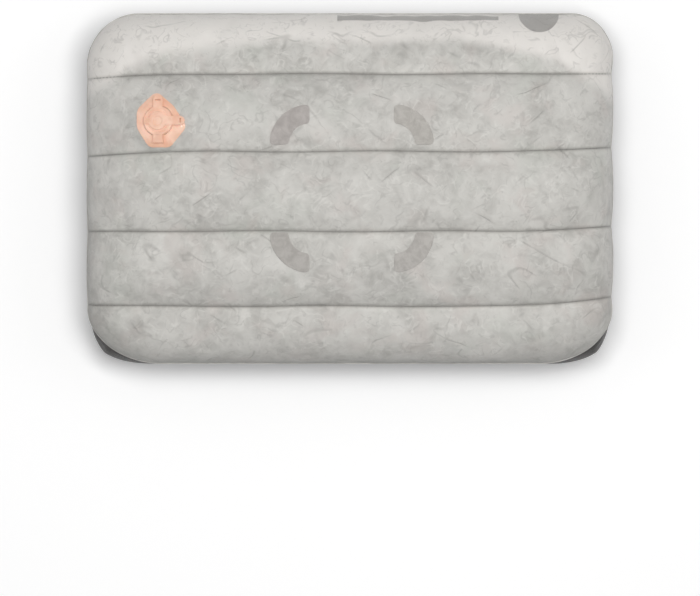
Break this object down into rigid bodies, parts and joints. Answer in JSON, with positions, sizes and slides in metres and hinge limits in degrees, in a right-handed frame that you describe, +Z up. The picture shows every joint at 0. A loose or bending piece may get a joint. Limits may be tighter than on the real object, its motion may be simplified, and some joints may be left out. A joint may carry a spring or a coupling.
{
  "type": "camp pillow",
  "caption": "Inflatable camp pillow with five quilted channels, down fill over an air bladder, a flap valve with an inflation cap, and four patches that hold it to a mat.",
  "frame": {"origin": "under the middle of the pillow, on the surface that it lies on", "axes": "+X along the long side, +Y towards the rear edge, +Z up out of the sleeping face"},
  "size_m": [0.42, 0.28, 0.1241],
  "materials": {
    "cover_pale": "soft brushed polyester, pale warm grey with a mottled print of fine fibres",
    "cover_dark": "matt charcoal woven polyester",
    "film": "thin translucent coated film",
    "down": "loose white clusters",
    "patch": "short dense grip pile, warm grey",
    "valve_orange": "satin moulded soft plastic, pale orange",
    "seal_clear": "smooth translucent silicone"
  },
  "bodies": {
    "underside": {"lower_cover": "cover_dark", "rim_weld": "cover_pale", "bladder_lower_film": "film", "baffle_1": "film", "baffle_2": "film", "baffle_3": "film", "baffle_4": "film"},
    "head_side": {"top_cover": "cover_pale", "down_fill_1": "down", "down_fill_2": "down", "down_fill_3": "down", "down_fill_4": "down", "down_fill_5": "down", "bladder_upper_film": "film", "lock_patch_rear_left": "patch", "lock_patch_rear_right": "patch", "lock_patch_front_left": "patch", "lock_patch_front_right": "patch", "valve_flange": "valve_orange", "valve_body": "valve_orange"},
    "flap": {"deflation_flap": "valve_orange", "flap_seal": "seal_clear"},
    "cap": {"inflation_cap": "valve_orange", "cap_seal": "seal_clear"},
    "check": {"check_disc": "seal_clear"}
  },
  "joints": [
    {"name": "head_press", "type": "slide", "parent": "underside", "child": "head_side", "axis": [0, 0, -1], "range_m": [0, 0.045], "stiffness_N_per_m": 900, "springref_m": -0.02, "deforming": ["top_cover", "bladder_upper_film", "down_fill_1", "down_fill_2", "down_fill_3", "down_fill_4", "down_fill_5", "bladder_lower_film", "baffle_1", "baffle_2", "baffle_3", "baffle_4"]},
    {"name": "deflation_flap", "type": "hinge", "parent": "head_side", "child": "flap", "pos_m": [-0.15227, 0.03879, 0.11901], "axis": [0.9816, 0.0069, 0.1907], "range_deg": [0, 125]},
    {"name": "inflation_cap", "type": "hinge", "parent": "flap", "child": "cap", "pos_m": [-0.16197, 0.05329, 0.11757], "axis": [-0.0069, -0.9974, 0.0718], "range_deg": [0, 150]},
    {"name": "check_valve", "type": "slide", "parent": "flap", "child": "check", "axis": [0.1907, -0.0718, -0.979], "range_m": [0, 0.0012], "stiffness_N_per_m": 150, "springref_m": -0.002}
  ]
}
